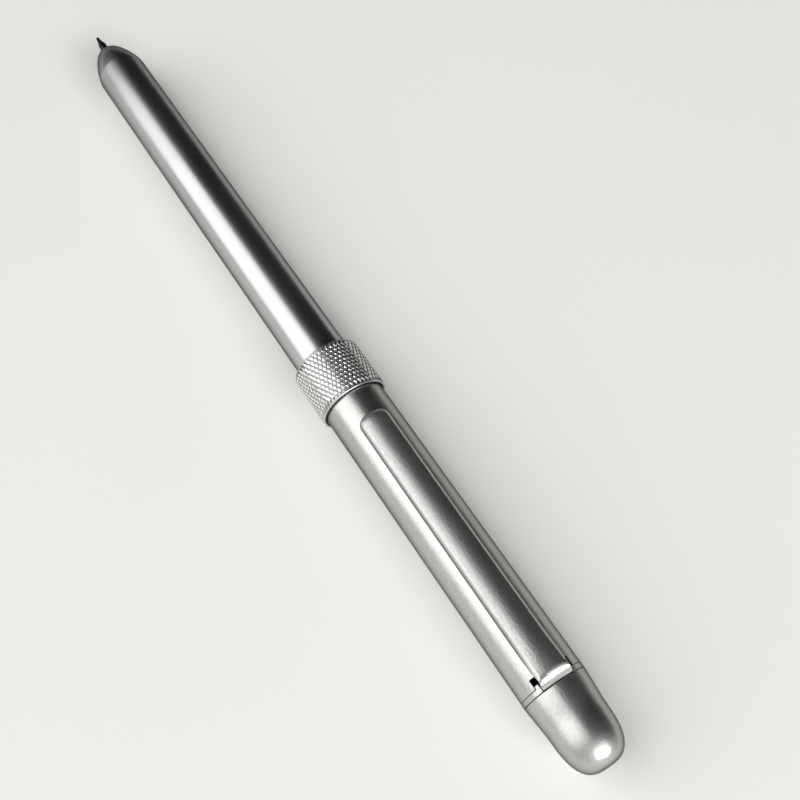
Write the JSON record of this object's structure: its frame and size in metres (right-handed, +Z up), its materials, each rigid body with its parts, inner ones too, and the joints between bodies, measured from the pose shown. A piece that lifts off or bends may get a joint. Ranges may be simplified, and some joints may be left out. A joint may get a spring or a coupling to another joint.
{
  "type": "multifunction pen",
  "caption": "Slim satin metal multifunction pen: twisting rear barrel brings out a ballpoint or a pencil, with a knurled ring, a sprung pocket clip and a pull-off end cap over an eraser.",
  "frame": {"origin": "middle of the pen's length, on the surface it lies on, straight below its axis", "axes": "+X along the pen from the cap to the writing point, +Z up through the clip, +Y across"},
  "size_m": [0.144, 0.0104, 0.0111],
  "materials": {
    "satin_metal": "satin",
    "knurled_metal": "satin",
    "clip_metal": "satin",
    "brass": "satin",
    "steel": "satin",
    "spring_steel": "satin",
    "black_plastic": "satin",
    "grey_plastic": "matte",
    "ink_tube": "satin",
    "graphite": "satin",
    "eraser_rubber": "matte"
  },
  "bodies": {
    "front": {"front_barrel": "satin_metal", "knurled_ring": "knurled_metal", "centre_coupler": "brass", "guide_pin": "steel", "press_spring": "spring_steel"},
    "carrier": {"refill_guide": "brass", "retaining_ring": "steel", "black_spring": "spring_steel", "pencil_spring": "spring_steel"},
    "rear": {"rear_barrel": "satin_metal", "selector_cam": "grey_plastic", "tail_plug": "brass", "clip_collar": "satin_metal", "eraser_ferrule": "steel", "eraser": "eraser_rubber"},
    "clip": {"clip": "clip_metal"},
    "cap": {"cap": "satin_metal"},
    "black_push": {"black_slider": "black_plastic"},
    "black_refill": {"black_refill_tube": "ink_tube", "black_point": "steel", "black_ball": "spring_steel"},
    "pencil_push": {"pencil_slider": "black_plastic"},
    "pencil_unit": {"pencil_body": "steel", "pencil_cone": "steel", "lead_sleeve": "steel", "pencil_lead": "graphite", "chuck": "brass", "chuck_ring": "brass", "feed_spring": "spring_steel", "lead_tank": "grey_plastic"}
  },
  "joints": [
    {"name": "press", "type": "slide", "parent": "front", "child": "carrier", "axis": [1, 0, 0], "range_m": [0, 0.001], "stiffness_N_per_m": 1500, "springref_m": -0.004, "deforming": ["press_spring"]},
    {"name": "twist", "type": "hinge", "parent": "carrier", "child": "rear", "pos_m": [-0.0137, 0, 0.0052], "axis": [1, 0, 0], "range_deg": [0, 180]},
    {"name": "black_slide", "type": "slide", "parent": "carrier", "child": "black_push", "axis": [1, 0, 0], "range_m": [-0.0096, 0], "deforming": ["black_spring"]},
    {"name": "black_tilt", "type": "hinge", "parent": "black_push", "child": "black_refill", "pos_m": [0.00499, 0, 0.00298], "axis": [0, 1, 0], "range_deg": [0, 1.9]},
    {"name": "pencil_slide", "type": "slide", "parent": "carrier", "child": "pencil_push", "axis": [1, 0, 0], "range_m": [0, 0.0096], "deforming": ["pencil_spring"]},
    {"name": "pencil_tilt", "type": "hinge", "parent": "pencil_push", "child": "pencil_unit", "pos_m": [-0.00461, 0, 0.00743], "axis": [0, 1, 0], "range_deg": [0, 1.9]},
    {"name": "clip_flex", "type": "hinge", "parent": "rear", "child": "clip", "pos_m": [-0.05982, 0, 0.00968], "axis": [0, -1, 0], "range_deg": [0, 4], "stiffness_Nm_per_rad": 3.4},
    {"name": "cap_pull", "type": "slide", "parent": "rear", "child": "cap", "axis": [-1, 0, 0], "range_m": [0, 0.009]}
  ],
  "couplings": [
    {"joint": "black_slide", "follows": "twist", "m_per_rad": -0.0030557},
    {"joint": "pencil_slide", "follows": "twist", "m_per_rad": 0.0030557},
    {"joint": "black_tilt", "follows": "twist", "ratio": 0.010572},
    {"joint": "pencil_tilt", "follows": "twist", "ratio": 0.010572}
  ]
}
